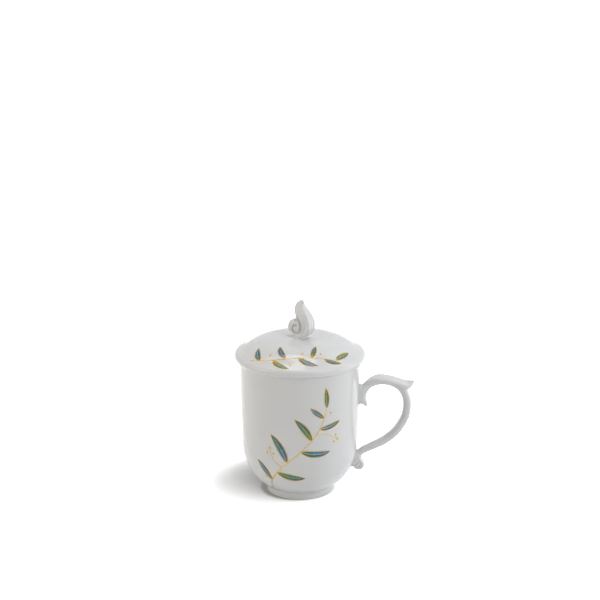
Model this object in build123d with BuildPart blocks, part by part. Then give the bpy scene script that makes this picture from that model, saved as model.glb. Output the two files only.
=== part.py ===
from build123d import *
import os
from math import cos, radians, sin, tan

# Lidded porcelain tea mug, in millimetres.
# The origin is the centre of the foot on the cup's axis, +Z is up and the handle points along +X.

os.makedirs("parts", exist_ok=True)

# Cup
foot_radius = 22.4
foot_height = 4.4
foot_ring_width = 3.4
foot_recess = 3.2
foot_edge_round = 0.7
bowl_radius = 38.5
bowl_height = 33.2
bowl_foot_pull = 12.6
bowl_wall_pull = 12.4
bowl_foot_angle = 32.0
mouth_radius = 40.0
cup_height = 91.8
lip_flare = 0.5
lip_height = 5.8
lip_round = 0.6
wall = 2.8
floor = 3.6

# Lid
lid_overhang = 2.9
lid_height = 14.6
lid_edge_height = 2.7
lid_roll_rise = 1.4
lid_land_width = 0.2
valley_inset = 2.8
valley_round = 2.5
flank_angle = 37.9
dome_round = 28.0
lid_wall = 3.2
seat_overhang = 0.3
flange_depth = 5.5
flange_wall = 2.6
flange_clearance = 0.8
flange_round = 0.8

# Handle
strap_width = 8.0
strap_thickness = 4.9
strap_sections = 24
curl_thickness = 2.6
curl_share = 0.08
tail_width = 6.6
tail_thickness = 3.8
tail_share = 0.35
handle_reach = 32.0
scroll_stand = 0.95
upper_root_drop = 25.3
upper_root_height = 12.6
upper_root_width = 8.6
lower_root_rise = 20.5
lower_root_height = 10.6
lower_root_width = 7.2
root_round = 3.0
scroll_radius = 3.8
scroll_width = 8.0
scroll_round = 1.3
scroll_eye_radius = 1.5
scroll_eye_depth = 0.5
leaf_width = 8.6
leaf_length = 29.4
leaf_rise = 3.0
leaf_thickness = 3.8

# Bonds of fired slip
slip_thickness = 0.7
slip_bead = 0.6
bond_gap = 0.05
knob_slip_radius = 5.7
knob_slip_height = 1.1
knob_slip_round = 0.5

# Knob
knob_turn = 35.0
knob_height = 26.2
flame_width = 12.4
flame_thickness = 6.6
flame_lean = 4.4
coil_width = 10.4
coil_height = 12.2
coil_thickness = 6.4
coil_round = 1.8
coil_centre_out = 3.7
coil_centre_height = 6.7
groove_centre_out = 2.0
groove_radius = 3.4
groove_width = 0.9
groove_depth = 1.0

# Largest share of a block's side that a corner may take, and of the lid's flank that its bends may take
corner_limit = 0.45
bend_limit = 0.95

# Heights and radii that follow from the sizes above
lip_radius = mouth_radius + lip_flare
lip_start = cup_height - lip_height
inner_mouth_radius = lip_radius - wall
plateau_height = cup_height + lid_height
flange_radius = inner_mouth_radius - flange_clearance
lid_radius = lip_radius + lid_overhang
valley_radius = lid_radius - valley_inset
seat_radius = lip_radius + seat_overhang


def slope(angle):
    """Unit direction in the half section at this angle above level."""
    return Vector(cos(radians(angle)), sin(radians(angle)))


# The half section of the cup: straight wall over a round bowl over the foot
wall_up = Vector(mouth_radius - bowl_radius, lip_start - bowl_height).normalized()
bowl_out = slope(bowl_foot_angle)
bowl_in_step = slope(bowl_foot_angle + 90) * wall
floor_height = foot_recess + floor


def draw_outside(grow):
    """Draw the cup's outside as a closed half section to the axis, moved out from the axis by grow."""
    notch = Vector(foot_radius + grow, foot_height)
    bowl_top = Vector(bowl_radius + grow, bowl_height)
    wall_top = Vector(mouth_radius + grow, lip_start)
    lip = Vector(lip_radius + grow, cup_height)
    Polyline((0, 0), (foot_radius + grow, 0), notch)
    Bezier(notch, notch + bowl_out * bowl_foot_pull, bowl_top - wall_up * bowl_wall_pull, bowl_top)
    Line(bowl_top, wall_top)
    TangentArc(wall_top, lip, tangent=wall_up)
    Polyline(lip, (0, cup_height), (0, 0))


def draw_inside():
    """Draw the cup's inside as a closed half section to the axis."""
    floor_edge = Vector(foot_radius + bowl_in_step.X, floor_height)
    bowl_top = Vector(bowl_radius - wall, bowl_height)
    wall_top = Vector(mouth_radius - wall, lip_start)
    lip = Vector(inner_mouth_radius, cup_height)
    Line((0, floor_height), floor_edge)
    Bezier(
        floor_edge,
        floor_edge + bowl_out * bowl_foot_pull,
        bowl_top - wall_up * bowl_wall_pull,
        bowl_top,
    )
    Line(bowl_top, wall_top)
    TangentArc(wall_top, lip, tangent=wall_up)
    Polyline(lip, (0, cup_height), (0, floor_height))


def cup_envelope(grow):
    """Solid of revolution with the cup's outside, moved out from the axis by grow."""
    with BuildPart() as envelope:
        with BuildSketch(Plane.XZ):
            with BuildLine():
                draw_outside(grow)
            make_face()
        revolve(axis=Axis.Z)
    return envelope.part


# Cup: revolved shell with a recessed foot and rounded edges
with BuildPart() as cup:
    add(cup_envelope(0))
    with BuildSketch(Plane.XZ):
        with BuildLine():
            draw_inside()
        make_face()
    revolve(axis=Axis.Z, mode=Mode.SUBTRACT)
    with BuildSketch(Plane.XY):
        Circle(foot_radius - foot_ring_width)
    extrude(amount=foot_recess, mode=Mode.SUBTRACT)
    foot_edges = cup.faces().sort_by(Axis.Z)[0].edges()
    fillet(foot_edges, foot_edge_round)
    lip_edges = cup.faces().sort_by(Axis.Z)[-1].edges()
    fillet(lip_edges, lip_round)

cup.part.label = "cup"
export_step(cup.part, "parts/cup.step")

# Lid: revolved dome with a rolled edge, a seat on the lip and a flange that centres it in the mouth
half_bend = tan(radians(flank_angle / 2))
lid_land_height = lid_edge_height + lid_roll_rise
flank_length = (lid_height - lid_land_height) / sin(radians(flank_angle))
shoulder_radius = valley_radius - flank_length * cos(radians(flank_angle))
valley_bend = valley_round * half_bend
lid_land_radius = valley_radius + valley_bend + lid_land_width
dome_bend = min(dome_round * half_bend, bend_limit * (flank_length - valley_bend))
flange_inner_radius = flange_radius - flange_wall
under_height = plateau_height - lid_wall
under_radius = shoulder_radius - lid_wall * half_bend
under_flank_drop = (flange_inner_radius - under_radius) * tan(radians(flank_angle))
with BuildPart() as lid:
    with BuildSketch(Plane.XZ):
        with BuildLine():
            land_height = cup_height + lid_land_height
            edge_height = cup_height + lid_edge_height
            Line((0, under_height), (0, plateau_height))
            FilletPolyline(
                (0, plateau_height),
                (shoulder_radius, plateau_height),
                (valley_radius, land_height),
                (lid_land_radius, land_height),
                radius=[dome_bend / half_bend, valley_round],
            )
            EllipticalCenterArc(
                (lid_land_radius, edge_height),
                lid_radius - lid_land_radius,
                lid_roll_rise,
                start_angle=0,
                arc_size=90,
            )
            EllipticalCenterArc(
                (seat_radius, edge_height),
                lid_radius - seat_radius,
                lid_edge_height,
                start_angle=270,
                arc_size=90,
            )
            Polyline(
                (seat_radius, cup_height),
                (flange_radius, cup_height),
                (flange_radius, cup_height - flange_depth),
                (flange_inner_radius, cup_height - flange_depth),
                (flange_inner_radius, under_height - under_flank_drop),
                (under_radius, under_height),
                (0, under_height),
            )
        make_face()
    revolve(axis=Axis.Z)
    flange_edges = lid.faces().sort_by(Axis.Z)[0].edges()
    fillet(flange_edges, flange_round)

lid.part.label = "lid"
export_step(lid.part, "parts/lid.step")

# Handle: a scroll strap on two roots, with a leaf for the thumb and a scroll at its foot
upper_root_centre = cup_height - upper_root_drop
handle_span = upper_root_centre - lower_root_rise
wall_at_root = bowl_radius + (upper_root_centre - bowl_height) * wall_up.X / wall_up.Y


def grip_point(out, down):
    """Point beside the cup: out as a share of the reach, down as a share of the span of the roots.

    Out counts from a line beside the cup, from the wall at the upper root to the scroll's stand at the bowl.
    """
    line_x = wall_at_root + down * (bowl_radius + scroll_stand - wall_at_root)
    return (line_x + out * handle_reach, upper_root_centre - down * handle_span)


upper_root_x, _ = grip_point(0.085, 0)
scroll_x, scroll_z = grip_point(0, 1.07)
with BuildLine(Plane.XZ) as strap_path:
    Spline(
        grip_point(0.14, 0.145),
        grip_point(0.085, 0.04),
        grip_point(0.105, -0.07),
        grip_point(0.215, -0.167),
        grip_point(0.43, -0.217),
        grip_point(0.66, -0.198),
        grip_point(0.86, -0.115),
        grip_point(0.98, 0.03),
        grip_point(1.0, 0.2),
        grip_point(0.945, 0.37),
        grip_point(0.78, 0.557),
        grip_point(0.552, 0.7),
        grip_point(0.276, 0.8),
        grip_point(0.076, 0.87),
        grip_point(0.0, 0.95),
        (scroll_x, scroll_z),
    )

# Sections of the leaf: place along its length, height of its middle over its root, width and thickness,
# each as a share of the leaf's own length, rise, width and thickness
leaf_root_x, leaf_root_z = grip_point(0.215, -0.18)
leaf_sections = [
    (0.0, 0.25, 0.7, 0.6),
    (0.11, 0.9, 0.95, 0.9),
    (0.27, 1.15, 1.0, 1.0),
    (0.5, 0.72, 1.0, 1.05),
    (0.7, 0.0, 1.0, 1.15),
    (0.86, -0.5, 0.95, 1.2),
    (0.95, -0.28, 0.78, 0.75),
    (1.0, 0.0, 0.3, 0.2),
]


def strap_taper(start, end, along):
    """Size that goes evenly from start to end as along goes from 0 to 1, and holds at both."""
    return start + (end - start) * max(0, min(1, along))


def root_block(width, height, centre_height, outer_x, margin):
    """Rounded block along X that runs from inside the cup out to outer_x, grown all round by margin."""
    corner = min(root_round, corner_limit * width, corner_limit * height)
    with BuildPart() as block:
        with BuildSketch(Plane.YZ.offset(foot_radius)):
            with Locations((0, centre_height)):
                RectangleRounded(width + 2 * margin, height + 2 * margin, corner + margin)
        extrude(amount=outer_x - foot_radius)
    return block.part


def upper_root(margin):
    """Block of the upper root, out to the middle of the strap."""
    return root_block(upper_root_width, upper_root_height, upper_root_centre, upper_root_x, margin)


def lower_root(margin):
    """Block of the lower root, out to the middle of the scroll."""
    return root_block(lower_root_width, lower_root_height, lower_root_rise, scroll_x, margin)


with BuildPart() as handle:
    with BuildSketch(Plane((scroll_x, 0, scroll_z), x_dir=(1, 0, 0), z_dir=(0, -1, 0))):
        Circle(scroll_radius)
    extrude(amount=scroll_width / 2, both=True)
    fillet(handle.edges().filter_by(GeomType.CIRCLE), scroll_round)
    for station in range(strap_sections + 1):
        along = station / strap_sections
        tail = (along - 1 + tail_share) / tail_share
        width = strap_taper(strap_width, tail_width, tail)
        thickness = strap_taper(strap_thickness, tail_thickness, tail)
        thickness = strap_taper(curl_thickness, thickness, along / curl_share)
        with BuildSketch(Plane(strap_path.line @ along, x_dir=(0, 1, 0), z_dir=strap_path.line % along)):
            Ellipse(width / 2, thickness / 2)
    loft()
    for along, rise, width, thickness in leaf_sections:
        middle = (leaf_root_x + along * leaf_length, 0, leaf_root_z + rise * leaf_rise)
        with BuildSketch(Plane(middle, x_dir=(0, 1, 0), z_dir=(1, 0, 0))):
            Ellipse(width * leaf_width / 2, thickness * leaf_thickness / 2)
    loft()
    add(upper_root(0))
    add(lower_root(0))
    for face_side in (-1, 1):
        eye_place = (scroll_x, face_side * scroll_width / 2, scroll_z)
        with BuildSketch(Plane(eye_place, x_dir=(1, 0, 0), z_dir=(0, -face_side, 0))):
            Circle(scroll_eye_radius)
        extrude(amount=scroll_eye_depth, mode=Mode.SUBTRACT)
    add(cup_envelope(slip_thickness + bond_gap), mode=Mode.SUBTRACT)

handle.part.label = "handle"
export_step(handle.part, "parts/handle.step")

# Beds of fired slip between the handle's roots and the cup
with BuildPart() as upper_handle_slip:
    add(upper_root(slip_bead))
    add(cup_envelope(slip_thickness), mode=Mode.INTERSECT)
    add(cup_envelope(bond_gap), mode=Mode.SUBTRACT)

upper_handle_slip.part.label = "upper_handle_slip"
export_step(upper_handle_slip.part, "parts/upper_handle_slip.step")

with BuildPart() as lower_handle_slip:
    add(lower_root(slip_bead))
    add(cup_envelope(slip_thickness), mode=Mode.INTERSECT)
    add(cup_envelope(bond_gap), mode=Mode.SUBTRACT)

lower_handle_slip.part.label = "lower_handle_slip"
export_step(lower_handle_slip.part, "parts/lower_handle_slip.step")

# Knob: a flame that leans over a coil, turned on the lid, standing on a low pad of slip
turn_x = cos(radians(knob_turn))
turn_y = sin(radians(knob_turn))
knob_plane = Plane((0, 0, plateau_height), x_dir=(turn_x, -turn_y, 0), z_dir=(-turn_y, -turn_x, 0))

# Level sections of the flame: height, lean, width and thickness as shares of the knob's own sizes
flame_sections = [
    (0.0, 0.15, 0.68, 0.85),
    (0.12, 0.57, 0.88, 0.97),
    (0.23, 0.95, 1.0, 1.0),
    (0.36, 1.0, 1.0, 1.0),
    (0.46, 0.93, 0.98, 0.97),
    (0.55, 0.75, 0.98, 0.92),
    (0.64, 0.49, 0.94, 0.86),
    (0.73, 0.21, 0.8, 0.78),
    (0.81, 0.09, 0.64, 0.68),
    (0.88, 0.12, 0.52, 0.57),
    (0.935, 0.22, 0.38, 0.46),
    (0.98, 0.34, 0.2, 0.3),
    (1.0, 0.38, 0.07, 0.12),
]
coil_slices = [(-1, 1), (-0.7, 0.25), (0, 0), (0.7, 0.25), (1, 1)]
with BuildPart() as knob:
    for height, lean, width, thickness in flame_sections:
        middle = knob_plane.from_local_coords(Vector(lean * flame_lean, height * knob_height, 0))
        with BuildSketch(Plane(middle, x_dir=knob_plane.x_dir, z_dir=(0, 0, 1))):
            Ellipse(width * flame_width / 2, thickness * flame_thickness / 2)
    loft()
    for place, inset in coil_slices:
        with BuildSketch(knob_plane.offset(place * coil_thickness / 2)):
            with Locations((-coil_centre_out, coil_centre_height)):
                Ellipse(coil_width / 2 - inset * coil_round, coil_height / 2 - inset * coil_round)
    loft()
    for face_side in (-1, 1):
        with BuildSketch(knob_plane.offset(face_side * coil_thickness / 2)):
            with Locations((-groove_centre_out, coil_centre_height)):
                Circle(groove_radius + groove_width / 2)
                Circle(groove_radius - groove_width / 2, mode=Mode.SUBTRACT)
        extrude(amount=-face_side * groove_depth, mode=Mode.SUBTRACT)
    split(bisect_by=Plane.XY.offset(plateau_height + knob_slip_height), keep=Keep.TOP)

knob.part.label = "knob"
export_step(knob.part, "parts/knob.step")

with BuildPart() as knob_slip:
    with BuildSketch(Plane.XY.offset(plateau_height)):
        Circle(knob_slip_radius)
    extrude(amount=knob_slip_height)
    fillet(knob_slip.faces().sort_by(Axis.Z)[-1].edges(), knob_slip_round)

knob_slip.part.label = "knob_slip"
export_step(knob_slip.part, "parts/knob_slip.step")
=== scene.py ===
"""Lidded porcelain tea mug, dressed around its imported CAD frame."""
import functools
import math
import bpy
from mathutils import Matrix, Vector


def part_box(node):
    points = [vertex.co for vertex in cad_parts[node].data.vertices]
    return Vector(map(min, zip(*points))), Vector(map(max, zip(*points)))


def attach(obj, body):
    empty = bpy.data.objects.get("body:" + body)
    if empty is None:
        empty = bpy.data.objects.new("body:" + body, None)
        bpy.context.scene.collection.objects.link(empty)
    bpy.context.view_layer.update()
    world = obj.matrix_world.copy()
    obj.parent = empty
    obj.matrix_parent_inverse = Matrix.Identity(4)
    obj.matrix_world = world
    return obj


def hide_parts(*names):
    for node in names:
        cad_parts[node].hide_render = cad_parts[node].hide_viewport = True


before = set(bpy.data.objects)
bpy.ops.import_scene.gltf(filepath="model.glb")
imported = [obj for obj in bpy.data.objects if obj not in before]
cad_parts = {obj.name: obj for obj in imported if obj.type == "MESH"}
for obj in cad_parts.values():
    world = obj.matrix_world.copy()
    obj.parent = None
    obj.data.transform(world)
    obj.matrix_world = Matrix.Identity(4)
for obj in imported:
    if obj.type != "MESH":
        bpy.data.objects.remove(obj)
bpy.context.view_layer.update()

from types import SimpleNamespace

import bmesh
import bpy
import numpy as np
import openvdb
from mathutils import Vector

bl_info = {
    "name": "Lidded Tea Mug",
    "version": (1, 0, 0),
    "blender": (4, 5, 0),
    "location": "View3D > Sidebar > Tea Mug",
    "description": "Glazed porcelain mug with a scroll handle, a loose lid and a painted sprig",
    "category": "Object",
}

MM = 0.001
CUP_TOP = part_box("cup")[1].z / MM
LID_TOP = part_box("lid")[1].z / MM
KNOB_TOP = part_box("knob")[1].z / MM


def linear(hex_colour):
    """Turn an sRGB hex colour into the linear colour that Blender works in."""
    parts = [int(hex_colour[i:i + 2], 16) / 255 for i in (1, 3, 5)]
    return tuple(p / 12.92 if p <= 0.04045 else ((p + 0.055) / 1.055) ** 2.4 for p in parts)


def number(label, value, about, precision=3, **kind):
    """Property for a number; kind gives its unit or subtype."""
    return bpy.props.FloatProperty(name=label, description=about, default=value, precision=precision, **kind)


def size(label, mm, about):
    """Property for a length, given in millimetres."""
    return number(label, mm * MM, about, 5, subtype="DISTANCE", unit="LENGTH")


def turn(label, degrees, about):
    """Property for an angle, given in degrees."""
    return number(label, math.radians(degrees), about, subtype="ANGLE", unit="ROTATION")


def power(label, watts, about):
    """Property for the power of a lamp."""
    return number(label, watts, about, unit="POWER")


def colour(label, hex_colour, about):
    """Property for a colour, given as sRGB hex."""
    return bpy.props.FloatVectorProperty(
        name=label, description=about, default=linear(hex_colour), size=3, min=0, max=1, subtype="COLOR"
    )


# Settings


class MugCupSettings(bpy.types.PropertyGroup):
    """Sizes of the cup."""

    foot_radius: size("Foot radius", 22.4, "Outside of the foot ring")
    foot_height: size("Foot height", 4.4, "From the table to where the bowl starts")
    foot_ring: size("Foot ring", 3.4, "Width of the ring that the mug stands on")
    foot_recess: size("Foot recess", 3.2, "Depth of the hollow inside the foot ring")
    foot_round: size("Foot rounding", 0.7, "Rounding of the ring's edges")
    foot_fillet: size("Foot fillet", 2.4, "Fillet between the foot and the bowl")
    bare_height: size("Bare height", 0.45, "Height up to which the ring has no glaze")
    inner_round: size("Inner rounding", 1.0, "Rounding in the recess and at the floor's edge")
    bowl_radius: size("Bowl radius", 38.5, "Where the bowl turns into the wall")
    bowl_height: size("Bowl height", 33.2, "Height at which the bowl turns into the wall")
    bowl_foot_pull: size("Bowl pull at the foot", 12.6, "How far the bowl keeps its slope from the foot")
    bowl_wall_pull: size("Bowl pull at the wall", 12.4, "How far the bowl keeps the wall's slope")
    bowl_angle: turn("Bowl angle", 32, "Slope of the bowl where it leaves the foot")
    mouth_radius: size("Mouth radius", 40.0, "Outside of the wall under the lip")
    lip_flare: size("Lip flare", 0.5, "How far the lip leans out")
    lip_height: size("Lip height", 5.8, "Height of the flared part")
    lip_pull: size("Lip pull", 2.0, "How far the flare keeps the wall's slope")
    lip_round: size("Lip rounding", 0.6, "Rounding of the lip's edges")
    wall: size("Wall", 2.8, "Thickness of the wall")
    floor: size("Floor", 3.6, "Thickness of the floor")


class MugLidSettings(bpy.types.PropertyGroup):
    """Sizes of the lid."""

    radius: size("Radius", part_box("lid")[1].x / MM, "Outside of the rolled edge")
    edge_height: size("Edge height", 2.5, "Height of the widest line over the lip")
    edge_round: size("Edge rounding", 3.5, "Rounding from the rim over to the widest line")
    rim_width: size("Rim width", 4.0, "From that rounding in to the valley")
    rim_slope: turn("Rim slope", 24.7, "Slope of the rim")
    valley_round: size("Valley rounding", 21.0, "Rounding of the valley between rim and flank")
    flank_angle: turn("Flank angle", 35.3, "Slope of the flank")
    dome_round: size("Dome rounding", 31.0, "Rounding from the flank to the flat top")
    under_round: size("Under rounding", 9.0, "Rounding from the flank to the flat ceiling inside")
    wall: size("Wall", 3.2, "Thickness of the dome")
    seat_radius: size("Seat radius", 40.8, "Outside of the flat seat on the lip")
    flange_radius: size("Flange radius", 36.9, "Outside of the flange in the mouth")
    flange_wall: size("Flange wall", 2.6, "Thickness of the flange")
    flange_depth: size("Flange depth", 5.5, "How far the flange reaches into the mouth")
    flange_round: size("Flange rounding", 0.8, "Rounding of the flange's lower edges")
    seat_fillet: size("Seat fillet", 0.5, "Fillet between the seat and the flange")
    flange_fillet: size("Flange fillet", 1.2, "Fillet between the flange and the flank inside")


class MugHandleSettings(bpy.types.PropertyGroup):
    """Sizes of the handle."""

    line_radius: size("Line radius", 39.45, "Line beside the cup from which the reach counts")
    reach: size("Reach", 32.0, "From that line to the middle of the bow")
    top_root: size("Top root", 66.5, "Height of the upper root's middle")
    low_root: size("Low root", 20.5, "Height of the lower root's middle")
    leaf_length: size("Leaf length", 29.4, "Length of the leaf for the thumb")
    leaf_rise: size("Leaf rise", 3.0, "How high the leaf arches over its root")
    leaf_width: size("Leaf width", 12.0, "Width of the leaf across the handle")
    leaf_thickness: size("Leaf thickness", 3.0, "Thickness of the leaf")
    flute_spacing: size("Flute spacing", 2.1, "From flute to flute on the leaf's tip")
    flute_depth: size("Flute depth", 0.22, "Depth of the flutes on the leaf's tip")
    scroll_radius: size("Scroll radius", 3.8, "Radius of the scroll at the handle's foot")
    scroll_width: size("Scroll width", 8.0, "Width of the scroll across the handle")
    scroll_round: size("Scroll rounding", 1.5, "Rounding of the scroll's edges")
    groove_radius: size("Groove radius", 0.4, "Radius of the groove in the scroll")
    clay_run: size("Clay run", 1.6, "Run-out of the clay between strap, leaf and roots")
    joint_fillet: size("Joint fillet", 2.0, "Run-out of the clay where the roots meet the cup")
    bed: size("Bed", 0.45, "Thickness of the slip bed under each root")
    grain: size("Mesh step", 0.26, "Spacing of the sculpted mesh")


class MugKnobSettings(bpy.types.PropertyGroup):
    """Sizes of the knob and of the pad under it."""

    facing: turn("Facing", 37, "How far the knob's face turns from the front")
    height: size("Height", KNOB_TOP - LID_TOP, "From the lid's flat top to the knob's tip")
    flame_width: size("Flame width", 11.4, "Widest part of the flame")
    flame_thickness: size("Flame thickness", 7.0, "Thickness of the flame at its foot")
    flame_lean: size("Flame lean", 4.4, "How far the flame leans out from the axis")
    coil_width: size("Coil width", 10.4, "Width of the coil")
    coil_height: size("Coil height", 12.2, "Height of the coil")
    crest_rise: size("Crest rise", 0.9, "How far the crest stands over the face")
    hollow_depth: size("Hollow depth", 0.4, "Depth of the hollow in the face beside the crest")
    crest_round: size("Crest rounding", 1.3, "Rounding between the faces and the fluted band")
    back_round: size("Back rounding", 2.2, "Rounding on the side of the coil")
    groove_depth: size("Groove depth", 1.5, "Depth of the groove that winds round the eye")
    groove_width: size("Groove width", 0.7, "Half width of that groove beside the flame")
    eye_rise: size("Eye rise", 0.5, "How far the eye of the coil stands out")
    flute_spacing: size("Flute spacing", 2.5, "From flute to flute on the edge band")
    flute_depth: size("Flute depth", 0.34, "Depth of the flutes on the edge band")
    neck_radius: size("Neck radius", 3.9, "Radius of the short neck on which the knob stands")
    neck_height: size("Neck height", 1.6, "Height of that neck over the lid")
    joint_fillet: size("Joint fillet", 1.8, "Run-out of the clay where the neck meets the lid")
    pad_height: size("Pad height", 1.1, "Height of the slip pad under the knob")
    pad_radius: size("Pad radius", 7.5, "Radius at which the slip pad ends")
    grain: size("Mesh step", 0.17, "Spacing of the sculpted mesh")


class MugFinishSettings(bpy.types.PropertyGroup):
    """Colours and fine sizes of the finishes."""

    porcelain: colour("Porcelain", "#E0DFDD", "White body under a clear glaze")
    porcelain_cool: colour("Cool porcelain", "#DADBDC", "Where the glaze lies a little thicker")
    biscuit: colour("Biscuit", "#DEDAD2", "Bare fired clay of the foot ring")
    gold: colour("Gold", "#B58C28", "Burnished gold line")
    gold_light: colour("Light gold", "#C9AB52", "Where the gold was laid thinner")
    teal: colour("Teal", "#1F7A79", "Leaf wash")
    green: colour("Green", "#548028", "Leaf wash")
    deep: colour("Deep green", "#143F42", "Shaded side of the leaves")
    blue: colour("Blue", "#2480BC", "Leaf wash")
    mist: colour("Mist", "#A9C4C6", "Thin, watery end of a wash")
    glow_depth: size("Glow depth", 2.0, "How far light spreads in the porcelain")
    glaze_wave: size("Glaze wave", 9.0, "Width of the soft waves in the glaze")
    clouding: size("Clouding", 16.0, "Width of the cloudy changes in tone")
    tooth: size("Tooth", 0.4, "Grain of the bare clay")
    enamel_lift: size("Enamel lift", 0.07, "How far the leaves stand over the glaze")
    gold_lift: size("Gold lift", 0.14, "How far the gold stands over the glaze")
    paint_sink: size("Paint sink", 0.05, "How far the paint has sunk into the glaze")
    outline: size("Outline", 0.5, "Width of the gold outlines")
    stem: size("Stem", 0.95, "Width of the gold stem at its foot")
    berry: size("Berry", 1.9, "Width of a gold berry")
    gold_patch: size("Gold patch", 1.5, "Width of the patches in the gold")
    streak: size("Streak", 0.45, "Width of the brush streaks in a leaf")
    pool: size("Pool", 2.4, "Width of the dark pools in a wash")
    vein: size("Vein spacing", 1.7, "From side vein to side vein in a leaf")


class MugStageSettings(bpy.types.PropertyGroup):
    """Light, floor and camera."""

    table_colour: colour("Table", "#F2F2F2", "Pale table as it lights the mug")
    table_grain: size("Table grain", 2.5, "Width of the faint grain in the table")
    table_glow: number("Table glow", 0.6, "White added to the table where it is looked at")
    shadow_reach: size("Shadow reach", 160.0, "How far from the mug the table still shows a shadow")
    # Painted shadow on the table: these five settings size the shade that ambient occlusion paints into the
    # table's seen colour, its darkest limit, and its fade on the mug's right
    contact_reach: size("Contact reach", 37.0, "How far the soft shadow beside the foot reaches")
    contact_depth: number("Contact depth", 1.9, "How quickly that shadow darkens towards the foot")
    foot_reach: size("Foot shadow reach", 5.0, "How far the thin deep shadow at the foot reaches")
    # Darkest that the painted shadow gets in the corner under the foot's edge
    corner_light: number("Corner light", 0.22, "Light that still reaches the corner under the foot's edge")
    # Half width of the painted shadow's fade on the mug's right, set by place across the table
    wash_reach: size("Wash reach", 20.0, "Half the width over which light clears the soft shadow")
    horizon: number("Horizon", 0.36, "Strength of the room's light at the height of the table")
    zenith: number("Zenith", 0.1, "Strength of the room's light overhead")
    key_power: power("Key", 2.45, "Softbox at the front right")
    top_power: power("Top", 2.5, "Long softbox overhead")
    lamp_left_power: power("Lamp on the left", 0.65, "Small softbox overhead on the left")
    lamp_right_power: power("Lamp on the right", 0.65, "Small softbox overhead at the back right")
    left_power: power("Left", 2.9, "Low softbox on the left")
    right_power: power("Right", 2.45, "Low softbox on the right")
    lens: number("Lens", 97.56, "Focal length", unit="CAMERA")
    camera_pitch: turn("Camera pitch", 73.5611, "Tilt of the camera up from straight down")
    camera_back: size("Camera distance", 1022.36, "How far the camera stands in front of the axis")
    camera_height: size("Camera height", 433.62, "Height of the camera over the table")


def settings(name):
    """Sizes of one group in millimetres; colours, angles and powers as they are."""
    group = getattr(bpy.context.scene, name)
    values = SimpleNamespace()
    for key, prop in group.bl_rna.properties.items():
        if prop.type == "FLOAT":
            value = getattr(group, key)
            setattr(values, key, value / MM if prop.unit == "LENGTH" else value)
    return values


# Curves and meshes, in millimetres

# Half of the angle at a corner, in radians, from which it counts as straight
STRAIGHT = 1.565
# Points of a mesh that are closer than this, in metres, are one
WELD = 1e-7


def curve(rows, steps=10):
    """Smooth line through the rows, with so many steps between each two; extra columns go along."""
    p = np.asarray(rows, float)
    p = np.vstack([2 * p[0] - p[1], p, 2 * p[-1] - p[-2]])
    t = np.linspace(0, 1, steps, endpoint=False)[:, None]
    spans = []
    for a, b, c, d in zip(p, p[1:], p[2:], p[3:]):
        bend = (2 * a - 5 * b + 4 * c - d) * t ** 2 + (3 * b - a - 3 * c + d) * t ** 3
        spans.append(b + 0.5 * ((c - a) * t + bend))
    return np.vstack(spans + [p[-2:-1]])


def bezier(a, b, c, d, steps=28):
    """Cubic curve with four control points."""
    t = np.linspace(0, 1, steps + 1)[:, None]
    return a * (1 - t) ** 3 + 3 * b * t * (1 - t) ** 2 + 3 * c * t ** 2 * (1 - t) + d * t ** 3


def rounded(corners, steps=9):
    """Line through (radius, height, rounding) corners, with an arc at each corner that has a rounding."""
    p = np.asarray([c[:2] for c in corners], float)
    run = [p[0]]
    for i in range(1, len(p) - 1):
        r = corners[i][2]
        to_last, to_next = p[i - 1] - p[i], p[i + 1] - p[i]
        to_last /= np.linalg.norm(to_last)
        to_next /= np.linalg.norm(to_next)
        half = math.acos(max(-1, min(1, to_last @ to_next))) / 2
        if not r or half > STRAIGHT:
            run.append(p[i])
            continue
        middle = to_last + to_next
        centre = p[i] + middle / np.linalg.norm(middle) * r / math.sin(half)
        first = p[i] + to_last * r / math.tan(half) - centre
        last = p[i] + to_next * r / math.tan(half) - centre
        for t in np.linspace(0, 1, steps):
            step = first * (1 - t) + last * t
            run.append(centre + step / np.linalg.norm(step) * r)
    run.append(p[-1])
    return np.array(run)


def unrounded(points):
    """Corner rows for rounded() from plain points."""
    return [(radius, height, 0) for radius, height in points]


def revolved(profile, segments=256):
    """Points and faces of a closed solid turned from a profile that starts and ends on the axis."""
    ring = profile[1:-1]
    angle = np.linspace(0, 2 * math.pi, segments, endpoint=False)
    height = np.repeat(ring[:, 1:], segments, axis=1)
    points = np.stack([ring[:, :1] * np.cos(angle), ring[:, :1] * np.sin(angle), height], 2).reshape(-1, 3)
    first_pole, last_pole = len(points), len(points) + 1
    here = np.arange(len(points)).reshape(-1, segments)
    after = np.roll(here, -1, axis=1)
    faces = np.stack([here[:-1], after[:-1], after[1:], here[1:]], -1).reshape(-1, 4).tolist()
    faces += [(first_pole, b, a) for a, b in zip(here[0], after[0])]
    faces += [(a, b, last_pole) for a, b in zip(here[-1], after[-1])]
    return np.vstack([points, [0, 0, profile[0, 1]], [0, 0, profile[-1, 1]]]), faces


def place_piece(name, points, faces, materials, body, nodes=(), pick=None):
    """Make a smooth mesh piece that rides on a body; pick gives each face's material."""
    if not len(faces):
        raise RuntimeError(name + " came out empty")
    mesh = bpy.data.meshes.new(name)
    mesh.from_pydata(np.asarray(points) * MM, [], faces)
    work = bmesh.new()
    work.from_mesh(mesh)
    bmesh.ops.remove_doubles(work, verts=work.verts, dist=WELD)
    bmesh.ops.recalc_face_normals(work, faces=work.faces)
    for face in work.faces:
        face.smooth = True
        if pick:
            face.material_index = pick(face.calc_center_median() / MM)
    work.to_mesh(mesh)
    work.free()
    for material in materials:
        mesh.materials.append(material)
    piece = bpy.data.objects.new(name, mesh)
    bpy.context.scene.collection.objects.link(piece)
    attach(piece, body)
    if nodes:
        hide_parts(*nodes)
    return piece


# Clay forms as distance fields in millimetres: below zero is inside

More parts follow.
